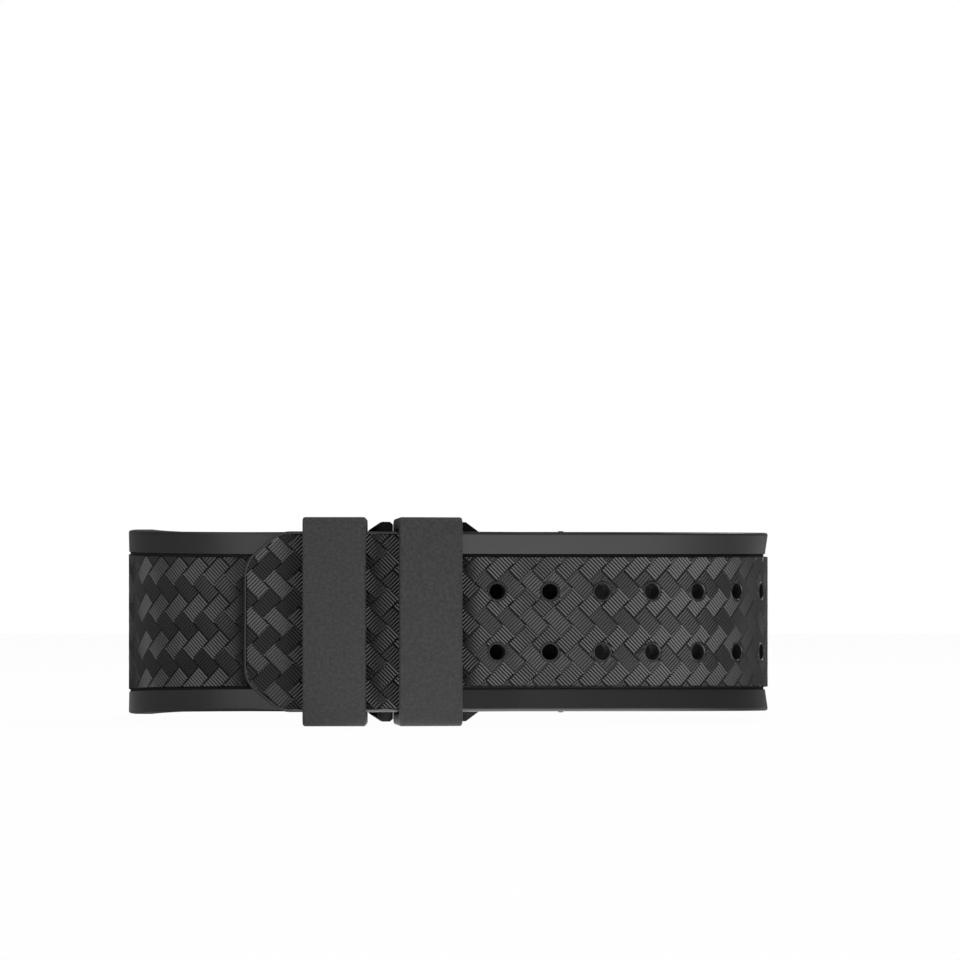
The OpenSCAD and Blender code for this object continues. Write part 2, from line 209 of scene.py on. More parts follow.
def clipped(a, b, box):
    """The part of a line inside a box (s0, s1, z0, z1), or None."""
    low, high = 0.0, 1.0
    for k in (0, 1):
        step = b[k] - a[k]
        lo, hi = box[2 * k], box[2 * k + 1]
        if abs(step) < 1e-9:
            if a[k] < lo or a[k] > hi:
                return None
            continue
        t0, t1 = sorted(((lo - a[k]) / step, (hi - a[k]) / step))
        low, high = max(low, t0), min(high, t1)
    if high - low < 1e-6:
        return None
    return tuple(tuple(a[k] + (b[k] - a[k]) * t for k in (0, 1)) for t in (low, high))


def cut_by_line(a, b, point, inward):
    """The part of a line on the inner side of a slanted edge, or None."""
    da = (a[0] - point[0]) * inward[0] + (a[1] - point[1]) * inward[1]
    db = (b[0] - point[0]) * inward[0] + (b[1] - point[1]) * inward[1]
    if da < 0 and db < 0:
        return None
    if da >= 0 and db >= 0:
        return a, b
    t = da / (da - db)
    mid = tuple(a[k] + (b[k] - a[k]) * t for k in (0, 1))
    return (a, mid) if da >= 0 else (mid, b)


def outside_circle(a, b, centre, r):
    """The parts of a line outside a circle."""
    dx, dz = b[0] - a[0], b[1] - a[1]
    fx, fz = a[0] - centre[0], a[1] - centre[1]
    qa, qb, qc = dx * dx + dz * dz, 2 * (fx * dx + fz * dz), fx * fx + fz * fz - r * r
    disc = qb * qb - 4 * qa * qc
    if disc <= 0 or qa == 0:
        return [(a, b)]
    t0, t1 = (-qb - math.sqrt(disc)) / (2 * qa), (-qb + math.sqrt(disc)) / (2 * qa)
    if t1 <= 0 or t0 >= 1:
        return [(a, b)]
    pieces = []
    if t0 > 1e-4:
        pieces.append((a, (a[0] + dx * t0, a[1] + dz * t0)))
    if t1 < 1 - 1e-4:
        pieces.append(((a[0] + dx * t1, a[1] + dz * t1), b))
    return pieces


def outside_circles(a, b, centres, r):
    """The parts of a line outside several circles."""
    parts = [(a, b)]
    for centre in centres:
        parts = [piece for part in parts for piece in outside_circle(*part, centre, r)]
    return parts


def inset(outline, by):
    """A convex outline moved inwards, with mitred corners."""
    moved, n = [], len(outline)
    for i in range(n):
        p, q, r = outline[i - 1], outline[i], outline[(i + 1) % n]
        e0 = (q[0] - p[0], q[1] - p[1])
        e1 = (r[0] - q[0], r[1] - q[1])
        l0, l1 = math.hypot(*e0), math.hypot(*e1)
        n0, n1 = (-e0[1] / l0, e0[0] / l0), (-e1[1] / l1, e1[0] / l1)
        scale = by / (1 + n0[0] * n1[0] + n0[1] * n1[1])
        moved.append((q[0] + (n0[0] + n1[0]) * scale, q[1] + (n0[1] + n1[1]) * scale))
    return moved


def closed(points):
    """The lines round a closed outline."""
    return list(zip(points, points[1:] + points[:1]))


def both_sides(edge):
    """A strap's whole outline, from its upper edge."""
    return [(s, -z) for s, z in edge] + [(s, z) for s, z in reversed(edge)]


def arc(centre, r, start, turn, count):
    """Points along an arc, from a start angle through a turn, both in degrees."""
    angles = [math.radians(start + turn * k / count) for k in range(count + 1)]
    return [(centre[0] + r * math.cos(a), centre[1] + r * math.sin(a)) for a in angles]


def ring_points(centre, r, count=28):
    """Points round a circle."""
    angles = [2 * math.pi * k / count for k in range(count)]
    return [(centre[0] + r * math.cos(a), centre[1] + r * math.sin(a)) for a in angles]


class Shell:
    """Points and faces of one piece, gathered before they become a mesh."""

    def __init__(self):
        self.points, self.faces, self.kinds = [], [], []

    def add(self, points, faces, kinds):
        """Adds faces over their own points, all of one finish or each of its own."""
        start = len(self.points)
        self.points += points
        self.faces += [tuple(start + i for i in face) for face in faces]
        self.kinds += kinds if isinstance(kinds, list) else [kinds] * len(faces)

    def loft(self, rings, kind=0, ends=True, around=False):
        """Faces through closed rings, with flat ends, or back to the first ring."""
        n, count = len(rings[0]), len(rings)
        faces = []
        for i in range(count if around else count - 1):
            a, b = i * n, (i + 1) % count * n
            faces += [(a + j, a + (j + 1) % n, b + (j + 1) % n, b + j) for j in range(n)]
        if ends and not around:
            faces += [tuple(range(n)), tuple(range((count - 1) * n, count * n))]
        self.add([p for ring in rings for p in ring], faces, kind)

    def object(self, name, sharp=28):
        """The piece, smooth but for edges sharper than an angle in degrees."""
        mesh = bpy.data.meshes.new(name)
        mesh.from_pydata(self.points, [], self.faces)
        mesh.polygons.foreach_set("material_index", self.kinds)
        piece = put_in_scene(name, mesh)
        work = bmesh.new()
        work.from_mesh(mesh)
        bmesh.ops.remove_doubles(work, verts=work.verts, dist=4e-7)
        bmesh.ops.recalc_face_normals(work, faces=work.faces)
        work.to_mesh(mesh)
        work.free()
        mesh.shade_smooth()
        mesh.set_sharp_from_angle(angle=math.radians(sharp))
        return piece


def put_in_scene(name, data):
    """A new object that shows its data."""
    made = bpy.data.objects.new(name, data)
    bpy.context.scene.collection.objects.link(made)
    return made


def flat_face(outline, lines, holes, hole_r):
    """Triangles of an unrolled face, from its outline, its lines and its holes."""
    lines = closed(outline) + lines
    points = [Vector(point) for line in lines for point in line]
    edges = [(2 * i, 2 * i + 1) for i in range(len(lines))]
    verts, _, faces, _, _, _ = delaunay_2d_cdt(points, edges, [], 0, 1e-5)
    kept = []
    for face in faces:
        cs, cz = (sum(verts[i][k] for i in face) / 3 for k in (0, 1))
        if all(math.hypot(cs - hole[0], cz - hole[1]) > hole_r for hole in holes):
            kept.append(tuple(face))
    return verts, kept


EDGE_BEVEL = 0.3
WRIST_BEVEL = 0.45
BEVEL_STEPS = [math.radians(a) for a in (0, 30, 60, 90)]
GROOVE_W = 0.4
DRAFT = 0.08
# The groove and the bands' slope grow from nothing over this length, under the fixed keeper.
FADE_LEN = 1.0
# One more line along each band, this far from its rounding, keeps the shading flat up to there.
SHADE_LINE = 0.15
# A point this close to a boundary lies on it.
ON_EDGE, ON_LINE = 0.005, 1e-4
HOLE_R = 0.95
BORE_EDGE = 0.12
WRIST_RIM = HOLE_R + BORE_EDGE
LIP_GAP = 0.02
# Radius and depth of the rings round a hole: a smooth lip stands level with the crests.
HOLE_LIP = [(1.24, 0.1), (1.16, 0.0), (1.03, 0.0), (HOLE_R, 0.1)]
LIP_R = HOLE_LIP[0][0]
# The straps' finishes: satin bands, the relief, and the dull wrist side. The grooves share the dull one
# as painted shade: it is the darkest, so they look black between the bands and the panel.
SMOOTH, WOVEN, DULL_AND_PAINTED_SHADE = 0, 1, 2


def band_depth(z, dip, groove):
    """Depth of the smooth bands and of the groove beside the panel."""
    out = abs(z) - PANEL
    knots = [(0.0, 0.0), (DRAFT, groove), (GROOVE_W - DRAFT, groove), (GROOVE_W, dip),
             (BAND_W - EDGE_BEVEL, 0.0)]
    for (x0, d0), (x1, d1) in zip(knots, knots[1:]):
        if out <= x1:
            return d0 + (d1 - d0) * (out - x0) / (x1 - x0)
    return 0.0


def lip_depth(r):
    """Depth of the lip round a hole."""
    for (r1, d1), (r0, d0) in zip(HOLE_LIP, HOLE_LIP[1:]):
        if r >= r0 - 1e-3:
            return d0 + (d1 - d0) * (r - r0) / (r1 - r0)
    return d0


def relief_lines(woven, phase, hand, holes):
    """The cells' lines, as far as they lie in the woven area and outside the holes' lips."""
    lines = []
    for box, cuts in woven:
        for cs, cz, lean in weave_cells(box[0], box[1], phase, hand):
            near = [hole for hole in holes if abs(hole[0] - cs) < CELL_REACH]
            for a, b in cell_lines(cs, cz, lean):
                part = clipped(a, b, box)
                for point, inward in cuts:
                    part = part and cut_by_line(*part, point, inward)
                if part:
                    lines += outside_circles(*part, near, LIP_R + LIP_GAP)
    return lines


def strap_shell(shell, strap, outline, stations, woven, phase, holes, plain_end, hand=1):
    """One strap: woven outer face, rounded edges, wrist face and bored holes.
    The relief is bounded by boxes and slanted edges, and the bands begin at plain_end."""
    lines = relief_lines(woven, phase, hand, holes)
    for hole in holes:
        for r, _ in HOLE_LIP:
            lines += closed(ring_points(hole, r))
    first = min(s for s, _ in outline) + EDGE_BEVEL
    last = max(s for s, _ in outline) - EDGE_BEVEL
    banded = [max(first, min(last, s)) for s in stations if s >= plain_end]
    edge = HALF_W - EDGE_BEVEL
    for side in (-1, 1):
        for z in (PANEL, PANEL + DRAFT, PANEL + GROOVE_W - DRAFT, PANEL + GROOVE_W, edge - SHADE_LINE):
            lines += [((a, side * z), (b, side * z)) for a, b in zip(banded, banded[1:])]
        lines += [((s, side * PANEL), (s, side * edge)) for s in banded]
    # The relief stops at a straight line; from there to the eye the face is smooth.
    weave_end, foot, head = woven[-1][0][1:]
    lines += [((s, foot), (s, head)) for s in (weave_end, weave_end + DRAFT)]
    lines += [((s, -PANEL), (s, PANEL)) for s in banded if s > weave_end + 2 * DRAFT]

    def top_depth(s, z):
        for hole in holes:
            r = math.hypot(s - hole[0], z - hole[1])
            if r < LIP_R + LIP_GAP / 2:
                return lip_depth(r)
        if abs(z) > PANEL - ON_EDGE and s > plain_end - ON_EDGE:
            fade = min(1.0, max(0.0, (s - plain_end) / FADE_LEN))
            return band_depth(z, strap.dip, strap.groove) * fade if abs(z) > PANEL else 0.0
        for box, cuts in woven:
            inside = (box[0] - ON_LINE <= s <= box[1] + ON_LINE
                      and box[2] - ON_LINE <= z <= box[3] + ON_LINE)
            if inside and all((s - p[0]) * n[0] + (z - p[1]) * n[1] >= -ON_LINE for p, n in cuts):
                return weave_depth(s, z, phase, hand)
        return 0.0

    verts, faces = flat_face(inset(outline, EDGE_BEVEL), lines, holes, HOLE_R)
    kinds = []
    for face in faces:
        cs, cz = (sum(verts[i][k] for i in face) / 3 for k in (0, 1))
        # The grooves get the darkest, dull finish as painted shade.
        in_groove = PANEL < abs(cz) < PANEL + GROOVE_W and cs > plain_end
        in_weave = any(box[0] < cs < box[1] and box[2] < cz < box[3] for box, _ in woven)
        kinds.append(DULL_AND_PAINTED_SHADE if in_groove else WOVEN if in_weave else SMOOTH)
    shell.add([strap.place(v[0], v[1], top_depth(v[0], v[1])) for v in verts], faces, kinds)

    rings = [(EDGE_BEVEL * (1 - math.sin(a)), EDGE_BEVEL * (1 - math.cos(a))) for a in BEVEL_STEPS]
    rings += [(WRIST_BEVEL * (1 - math.cos(a)), STRAP_T - WRIST_BEVEL * (1 - math.sin(a)))
              for a in BEVEL_STEPS]
    shell.loft([[strap.place(s, z, depth) for s, z in inset(outline, by)] for by, depth in rings],
               SMOOTH, ends=False)

    lines, half = [], HALF_W - WRIST_BEVEL
    for s in stations[1:-1]:
        lines += outside_circles((s, -half), (s, half), holes, WRIST_RIM + LIP_GAP)
    for hole in holes:
        lines += closed(ring_points(hole, WRIST_RIM))
    verts, faces = flat_face(inset(outline, WRIST_BEVEL), lines, holes, WRIST_RIM * 0.99)
    shell.add([strap.place(v[0], v[1], STRAP_T) for v in verts], faces, DULL_AND_PAINTED_SHADE)
    bore = [HOLE_LIP[-1], (HOLE_R, STRAP_T * 0.5), (HOLE_R, STRAP_T - BORE_EDGE), (WRIST_RIM, STRAP_T)]
    for hole in holes:
        shell.loft([[strap.place(s, z, depth) for s, z in ring_points(hole, r)] for r, depth in bore],
                   DULL_AND_PAINTED_SHADE, ends=False)


def turned(shell, axis, profile, count=48):
    """A ring turned about an upright axis from a closed profile of radius and height."""
    angles = [2 * math.pi * k / count for k in range(count)]
    shell.loft([[in_loop(axis[0] + r * math.cos(a), axis[1] + r * math.sin(a), z) for r, z in profile]
                for a in angles], around=True)


BAR_D = 1.5
BAR_FIT = 0.06
BAR_BORE = BAR_D / 2 + BAR_FIT
LUG_EYE_D = 3.8
# A strap's flat faces end inside its eye, this far before the end of its line.
EYE_WALL = 1.0
# The middle of an eye's rounding lies 0.29 of its radius inside the square edge.
EYE_EDGE = 0.3
EYE_MID = EYE_EDGE * 0.29
EYE_CHAMFER = 0.1
EYE_PROUD = 0.02


def eye_profile(outer, half):
    """An eye's section, with rounded edges and a chamfered bore. It stands a hair proud of the
    strap's sides, so that no two faces share a plane."""
    half += EYE_PROUD
    return [(BAR_BORE, -half + EYE_CHAMFER), (BAR_BORE + EYE_CHAMFER, -half), (outer - EYE_EDGE, -half),
            (outer - EYE_MID, -half + EYE_MID), (outer, -half + EYE_EDGE), (outer, half - EYE_EDGE),
            (outer - EYE_MID, half - EYE_MID), (outer - EYE_EDGE, half), (BAR_BORE + EYE_CHAMFER, half),
            (BAR_BORE, half - EYE_CHAMFER)]


# A line lists its flats as (length, 0, 0) and its bends as (0, radius, turn in degrees). This one
# runs from the tip: tail, slope over the closure, ramp down, front, shoulder, side and back.
long_path = [(14, 0, 0), (0, 20, CLOSURE_TILT), (4.4 + FADE_LEN + 4.87, 0, 0), (0, 20, 5.5), (4.6, 0, 0),
             (0, 6, -12), (2.9, 0, 0), (0, 37, 37), (0, 17, 53), (0, 22, 60), (0, 60, 15)]
LONG_START = (-25.2, -2.9, 0)
LONG_TAPER = (0, 40)
LONG_DIP, LONG_GROOVE = 0.35, 0.55
LONG_EYE = (15.0886, 23.4382)
long_moulding = Moulding(long_path, LONG_START, False, LONG_TAPER, LONG_DIP, LONG_GROOVE)
long_end = path_length(long_path) - EYE_WALL

# The tip: a straight edge with a sloped corner above and below, each rounded at both ends.
TIP_R, TIP_FLAT, TIP_SLOPE = 3.5, 5.7, 39.7
CORNER_STEPS = 6
slope = math.radians(TIP_SLOPE)
reach = (HALF_W - TIP_R - TIP_FLAT) / math.sin(slope)
corner = arc((TIP_R, TIP_FLAT), TIP_R, 180, TIP_SLOPE - 90, CORNER_STEPS)
corner += arc((TIP_R + reach * math.cos(slope), TIP_FLAT + reach * math.sin(slope)), TIP_R,
              90 + TIP_SLOPE, -TIP_SLOPE, CORNER_STEPS)
tip_stop = corner[-1][0]

# The tail has no bands over this length: they begin under the fixed keeper.
PLAIN_LEN = 20.669
TIP_MARGIN = 0.5
long_stations = [s for s in path_stations(long_path, long_end) if s > tip_stop + TIP_MARGIN]
long_stations = sorted(long_stations + [PLAIN_LEN, PLAIN_LEN + FADE_LEN])
long_outline = both_sides(corner + [(s, HALF_W) for s in long_stations])

HOLE_PAIRS, HOLE_PITCH, ROW_GAP, FIRST_HOLE = 8, 6.5, 7.4, 24.55
long_holes = [(FIRST_HOLE + HOLE_PITCH * i, z) for i in range(HOLE_PAIRS)
              for z in (-ROW_GAP / 2, ROW_GAP / 2)]

# A thin smooth rim runs round the tail's relief, along its sloped corners too.
RIM = 0.1
rim_z = HALF_W - EDGE_BEVEL - RIM
tail_cuts = []
upper_rim = [p for p in inset(long_outline, EDGE_BEVEL + RIM) if p[0] < tip_stop and p[1] > 0]
for a, b in zip(upper_rim, upper_rim[1:]):
    length = math.hypot(b[0] - a[0], b[1] - a[1])
    if length > 1e-4:
        inward = (-(b[1] - a[1]) / length, (b[0] - a[0]) / length)
        tail_cuts += [(a, inward), ((a[0], -a[1]), (inward[0], -inward[1]))]

# The relief keeps clear of the grooves, of the next relief, and of the eye at the strap's end.
PANEL_GAP = 0.03
TAIL_GAP = 0.2
SMOOTH_END = 3.0
# The middle of one cell, along and across the strap.
LONG_PHASE = (4.23, 0.0)
long_woven = [((EDGE_BEVEL + RIM, PLAIN_LEN - TAIL_GAP, -rim_z, rim_z), tail_cuts),
              ((PLAIN_LEN, long_end - SMOOTH_END, -PANEL + PANEL_GAP, PANEL - PANEL_GAP), [])]
long_shell = Shell()
strap_shell(long_shell, long_moulding, long_outline, long_stations, long_woven, LONG_PHASE, long_holes,
            PLAIN_LEN)
turned(long_shell, LONG_EYE, eye_profile(LUG_EYE_D / 2, HALF_LUG))
long_strap = long_shell.object("long_strap")


def linear(hexed):
    """An sRGB hex colour as Blender's linear RGBA."""
    parts = [int(hexed[i:i + 2], 16) / 255 for i in (1, 3, 5)]
    return tuple(c / 12.92 if c <= 0.04045 else ((c + 0.055) / 1.055) ** 2.4 for c in parts) + (1.0,)


def put(tree, kind, values=(), **links):
    """Adds a node: values are (socket or setting, value) pairs, links name the sockets that feed it."""
    made = tree.nodes.new(kind)
    for key, value in values:
        if isinstance(key, str) and hasattr(made, key):
            setattr(made, key, value)
        else:
            made.inputs[key].default_value = value
    for key, source in links.items():
        tree.links.new(source, made.inputs[int(key[1:]) if key[0] == "i" and key[1:].isdigit() else key])
    return made


def finish(name, **settings):
    """A new material with its shader, and its coordinates in millimetres."""
    made = bpy.data.materials.new(name)
    made.use_nodes = True
    tree = made.node_tree
    shader = tree.nodes["Principled BSDF"]
    for key, value in settings.items():
        shader.inputs[key.replace("_", " ")].default_value = value
    where = put(tree, "ShaderNodeTexCoord")
    scaled = put(tree, "ShaderNodeVectorMath", [("operation", "SCALE"), (3, 1 / MM)],
                 i0=where.outputs["Object"])
    return made, tree, shader, scaled.outputs[0]


def surface(tree, shader, shades, low, high, grain, strength, height):
    """Colours a finish between two close shades by one pattern, over the middle third of its range,
    and gives it the fine relief of another pattern, of a height in millimetres."""
    ramp = put(tree, "ShaderNodeValToRGB", i0=shades.outputs[0])
    for stop, place, shade in zip(ramp.color_ramp.elements, (0.35, 0.65), (low, high)):
        stop.position, stop.color = place, linear(shade)
    tree.links.new(ramp.outputs[0], shader.inputs["Base Color"])
    bump = put(tree, "ShaderNodeBump", [("Strength", strength), ("Distance", height * MM)],
               Height=grain.outputs[0])
    tree.links.new(bump.outputs[0], shader.inputs["Normal"])


def moulded_rubber(name, low, high, rough, grain_mm, grain_height, cloud_mm=3.0, ior=1.8):
    """Fluororubber pressed in a spark-eroded mould: a fine grain, and clouds from handling."""
    made, tree, shader, mm = finish(name, Roughness=rough, IOR=ior)
    cloud = put(tree, "ShaderNodeTexNoise", [("Scale", 1 / cloud_mm), ("Detail", 3.0)], Vector=mm)
    grain = put(tree, "ShaderNodeTexNoise", [("Scale", 1 / grain_mm), ("Detail", 2.0), ("Roughness", 0.6)],
                Vector=mm)
    surface(tree, shader, cloud, low, high, grain, 0.6, grain_height)
    return made


# The bands are satin, with a grain of 0.12 mm and clouds of 3 mm. The relief has a finer grain, so
# its ribs glint and its seams stay dark. The wrist side has a coarse one, and looks flat and matte.
band_rubber = moulded_rubber("moulded_strap_rubber", "#151516", "#18181a", 0.32, 0.12, 0.007)
woven_rubber = moulded_rubber("woven_relief_rubber", "#0f0f10", "#151516", 0.34, 0.1, 0.004)
# This darkest, dull rubber is also laid in the grooves, as painted shade.
wrist_and_groove_shade_rubber = moulded_rubber("matte_wrist_rubber_and_groove_shade", "#0c0c0d", "#111112", 0.8, 0.2, 0.03, ior=1.5)
for material in (band_rubber, woven_rubber, wrist_and_groove_shade_rubber):
    long_strap.data.materials.append(material)
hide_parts("long_strap_front", "long_strap_bend", "long_strap_lug_end")
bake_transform(long_strap)


# The short strap: the same rubber and relief, pressed in its own mould. It narrows to a neck and an
# eye on the closure bar, and a thin flap runs on under the closure plate, so that the plate's edge
# doesn't touch the wrist. Its bands are nearly flat.

short_path = [(8.4, 0, 0), (0, 28, 36.5), (0, 12.2, 53.5), (2, 0, 0), (0, 28, 60), (0, 45, 15)]
SHORT_START = (11, 0, 0)
SHORT_TAPER = (0.5, 20)
SHORT_DIP, SHORT_GROOVE = 0.05, 0.2
SHORT_WEAVE = 1.0
SHORT_PHASE = (19.49, -0.5)
SHORT_EYE = (-15.7063, 23.6205)
CLOSURE_BAR = (-8.77363, -19.5705)
EYE_W = 19.2
EYE_D = 2.5

short_moulding = Moulding(short_path, SHORT_START, True, SHORT_TAPER, SHORT_DIP, SHORT_GROOVE)
short_end = path_length(short_path) - EYE_WALL
short_stations = path_stations(short_path, short_end)
short_outline = both_sides([(s, HALF_W) for s in short_stations])
short_woven = [((SHORT_WEAVE, short_end - SMOOTH_END, -PANEL + PANEL_GAP, PANEL - PANEL_GAP), [])]
short_shell = Shell()
strap_shell(short_shell, short_moulding, short_outline, short_stations, short_woven, SHORT_PHASE, [], 0.0,
            hand=-1)
turned(short_shell, SHORT_EYE, eye_profile(LUG_EYE_D / 2, HALF_LUG))
turned(short_shell, CLOSURE_BAR, eye_profile(EYE_D / 2, EYE_W / 2))


def rounded(y0, y1, half, r, count):
    """A rectangle's outline with rounded corners, from y0 to y1 and as high as twice half."""
    loop = []
    for y, z, start in ((y1 - r, half - r, 0), (y0 + r, half - r, 90), (y0 + r, r - half, 180),
                        (y1 - r, r - half, 270)):
        loop += arc((y, z), r, start, 90, count)
    return loop


NECK_START = -11.2 - PLAN_ORIGIN[0]
NECK_OVERLAP = 1.0
NECK_HALF_T = 1.2
NECK_EDGE = 0.3
neck = rounded(CLOSURE_BAR[1] - NECK_HALF_T, CLOSURE_BAR[1] + NECK_HALF_T, EYE_W / 2, NECK_EDGE, 4)
short_shell.loft([[in_loop(x, y, z) for y, z in neck] for x in (NECK_START, CLOSURE_BAR[0] - NECK_OVERLAP)])

# The flap follows the plate from the bar, bends level past the plate's end, and thins at its tip.
FLAP_ROOT, PLATE_REACH, FLAP_END = 0.95, 12.35, 10.6
FLAP_TOP, FLAP_T, FLAP_BEND_R, FLAP_EDGE = -0.034, 0.9, 6, 0.14
flap_path = [(PLATE_REACH, 0, 0), (0, FLAP_BEND_R, -CLOSURE_TILT), (FLAP_END, 0, 0)]
flap_tip = path_length(flap_path)
flap_half = EYE_W / 2 - BAR_FIT
tilt = math.radians(CLOSURE_TILT)
flap_start = (CLOSURE_BAR[0] - FLAP_TOP * math.sin(tilt), CLOSURE_BAR[1] + FLAP_TOP * math.cos(tilt),
              CLOSURE_TILT)
flap_rings = []
flap_cuts = [(s, 0) for s in (FLAP_ROOT, PLATE_REACH, 12.55, 12.8, 13.03, 22, flap_tip - 0.6)]
for s, thinned in flap_cuts + [(flap_tip - 0.15, 0.08), (flap_tip, 0.3)]:
    x, y, heading = path_pose(flap_path, flap_start, s)
    h = math.radians(heading)
    section = rounded(thinned, FLAP_T - thinned, flap_half - thinned * 2, FLAP_EDGE, 4)
    flap_rings.append([in_loop(x - d * math.sin(h), y + d * math.cos(h), z) for d, z in section])
short_shell.loft(flap_rings, DULL_AND_PAINTED_SHADE)
short_strap = short_shell.object("short_strap")
for material in (band_rubber, woven_rubber, wrist_and_groove_shade_rubber):
    short_strap.data.materials.append(material)
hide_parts("short_strap_front", "short_strap_bend", "short_strap_lug_end")
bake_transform(short_strap)


# The keepers: two rings of a softer rubber that hold the tail down. The fixed one sits in the
# closure plate's notch and leans with it. The floating one slides on the straps.

KEEPER_W, KEEPER_H, KEEPER_D, KEEPER_R = 7.7, 25.4, 8.8, 0.9
OPEN_H, OPEN_D, OPEN_R, FRONT = 22.6, 6.4, 0.3, 1.3
OUTER_ROUND, INNER_ROUND = 0.3, 0.15
# The floating keeper's front, and the fixed one's from the closure bar along and out of the plate.
FLOATING = (-14.15 - PLAN_ORIGIN[0], -4.45 - PLAN_ORIGIN[1])
FIXED = (5.83, -6.054)
# A softer compound from a blasted mould: pale and dull beside the straps, with a close mottle.
keeper_rubber = moulded_rubber("matte_keeper_rubber", "#434345", "#575758", 0.66, 0.16, 0.05, cloud_mm=0.35,
                               ior=1.5)


def rim_steps(r, angles):
    """A keeper's edge roundings, from one side to the other: place along the strap, and how far drawn in."""
    turns = [math.radians(a) for a in angles]
    near = [(-KEEPER_W / 2 + r * (1 - math.cos(a)), r * (1 - math.sin(a))) for a in turns]
    return near + [(-x, e) for x, e in reversed(near)]


def keeper(name, place):
    """A keeper, of rings that run over its outer face and back through its opening."""
    shell = Shell()
    loops = [[place(x, y, z) for y, z in rounded(e, KEEPER_D - e, KEEPER_H / 2 - e, KEEPER_R - e * 0.6, 8)]
             for x, e in rim_steps(OUTER_ROUND, (0, 22.5, 45, 67.5, 90))]
    loops += [[place(x, y, z)
               for y, z in rounded(FRONT - e, FRONT + OPEN_D + e, OPEN_H / 2 + e, OPEN_R + e, 8)]
              for x, e in reversed(rim_steps(INNER_ROUND, (0, 30, 60, 90)))]
    shell.loft(loops, around=True)
    piece = shell.object(name, sharp=40)
    piece.data.materials.append(keeper_rubber)
    return piece


def in_closure(u, w, z):
    """A point by its distances along and out of the closure plate, from the closure bar."""
    return in_loop(CLOSURE_BAR[0] + u * math.cos(tilt) - w * math.sin(tilt),
                   CLOSURE_BAR[1] + u * math.sin(tilt) + w * math.cos(tilt), z)


floating_keeper = keeper("floating_keeper_ring", lambda x, y, z: in_loop(FLOATING[0] + x, FLOATING[1] + y, z))
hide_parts("floating_keeper")
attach(floating_keeper, "floating_keeper")
fixed_keeper = keeper("fixed_keeper_ring", lambda x, y, z: in_closure(FIXED[0] + x, FIXED[1] + y, z))
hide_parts("fixed_keeper")
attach(fixed_keeper, "closure")


# The closure plate and its studs: stamped stainless steel, its edges tumbled round. Its four ears
# stand out above and below the strap, and two riveted studs fill a pair of holes.

# A near-black coating on the steel: a soft metallic sheen, clouded every millimetre or so by wear,
# over a grit of 0.11 mm from the tumbling.
black_steel, tree, shader, mm = finish("black_coated_steel", Metallic=0.85, Roughness=0.36)
wear = put(tree, "ShaderNodeTexNoise", [("Scale", 0.9), ("Detail", 4.0)], Vector=mm)
grit = put(tree, "ShaderNodeTexNoise", [("Scale", 9.0), ("Detail", 2.0)], Vector=mm)
surface(tree, shader, wear, "#161617", "#202022", grit, 0.3, 0.01)

TUMBLED_R = 0.12


def tumbled(node):
    """A copy of a CAD node with its edges rounded."""
    mesh = bpy.data.objects[node].data.copy()
    work = bmesh.new()
    work.from_mesh(mesh)
    bmesh.ops.remove_doubles(work, verts=work.verts, dist=1e-7)
    bmesh.ops.dissolve_limit(work, angle_limit=math.radians(1), verts=work.verts, edges=work.edges)
    edges = [e for e in work.edges if len(e.link_faces) == 2 and e.calc_face_angle(0) > math.radians(25)]
    bmesh.ops.bevel(work, geom=edges, offset=TUMBLED_R * MM, segments=2, profile=0.5, affect="EDGES",
                    clamp_overlap=True)
    work.to_mesh(mesh)
    work.free()
    mesh.materials.clear()
    mesh.shade_smooth()
    mesh.set_sharp_from_angle(angle=math.radians(30))
    piece = put_in_scene(node + "_tumbled", mesh)
    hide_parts(node)
    return piece


def refinish(node, material):
    """Puts a material on a CAD node, which keeps its mesh."""
    owner = bpy.data.objects[node]
    owner.data.materials.clear()
    owner.data.materials.append(material)


plate = tumbled("closure_plate")
plate.data.materials.append(black_steel)
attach(plate, "closure")
refinish("closure_studs", black_steel)


# The spring bars: stainless steel, turned on a small lathe. Each barrel holds a coil spring that
# pushes the two tips apart, and each tip goes into a drilled ear or lug.

# Bright steel, left as turned: a clear shine across fine rings, one each 0.14 mm (45 radians a mm),
# with a change of tone every 0.7 mm or so.
bar_steel, tree, shader, mm = finish("turned_stainless_steel", Metallic=1.0, Roughness=0.3)
split = put(tree, "ShaderNodeSeparateXYZ", Vector=mm)
rings = put(tree, "ShaderNodeMath", [("operation", "MULTIPLY"), (1, 45.0)], i0=split.outputs["Z"])
rings = put(tree, "ShaderNodeMath", [("operation", "SINE")], i0=rings.outputs[0])
tone = put(tree, "ShaderNodeTexNoise", [("Scale", 1.5)], Vector=mm)
surface(tree, shader, tone, "#a9abae", "#c4c6c9", rings, 0.25, 0.006)


def half_spring(bar, tip):
    """Half of a bar's coil: its middle stays in the barrel and its end is pressed in by one tip."""
    node = f"{bar}_spring"
    low, high = (Vector(corner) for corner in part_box(node))
    middle = (low + high) / 2
    end = Vector((middle.x, middle.y, high.z if tip == "upper_tip" else low.z))
    mesh = bpy.data.objects[node].data.copy()
    work = bmesh.new()
    work.from_mesh(mesh)
    bmesh.ops.bisect_plane(work, geom=work.verts[:] + work.edges[:] + work.faces[:], plane_co=middle,
                           plane_no=end - middle, clear_inner=True)
    work.to_mesh(mesh)
    work.free()
    mesh.materials.clear()
    mesh.materials.append(bar_steel)
    piece = put_in_scene(f"{bar}_{tip}_coil", mesh)
    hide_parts(node)
    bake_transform(piece)


for bar in ("closure_bar", "long_lug_bar", "short_lug_bar"):
    refinish(f"{bar}_barrel", bar_steel)
    for tip in ("upper_tip", "lower_tip"):
        refinish(f"{bar}_{tip}", bar_steel)
        half_spring(bar, tip)


# The setting: a sheet of white paper, which reads as white to the camera and keeps a soft shadow,
# and which glows as painted light in the strap's reflections, in a room that is white behind the strap
# and dim in its reflections. Five softboxes light it.

FLOOR_HALF, FLOOR_Z = 3, -0.00002
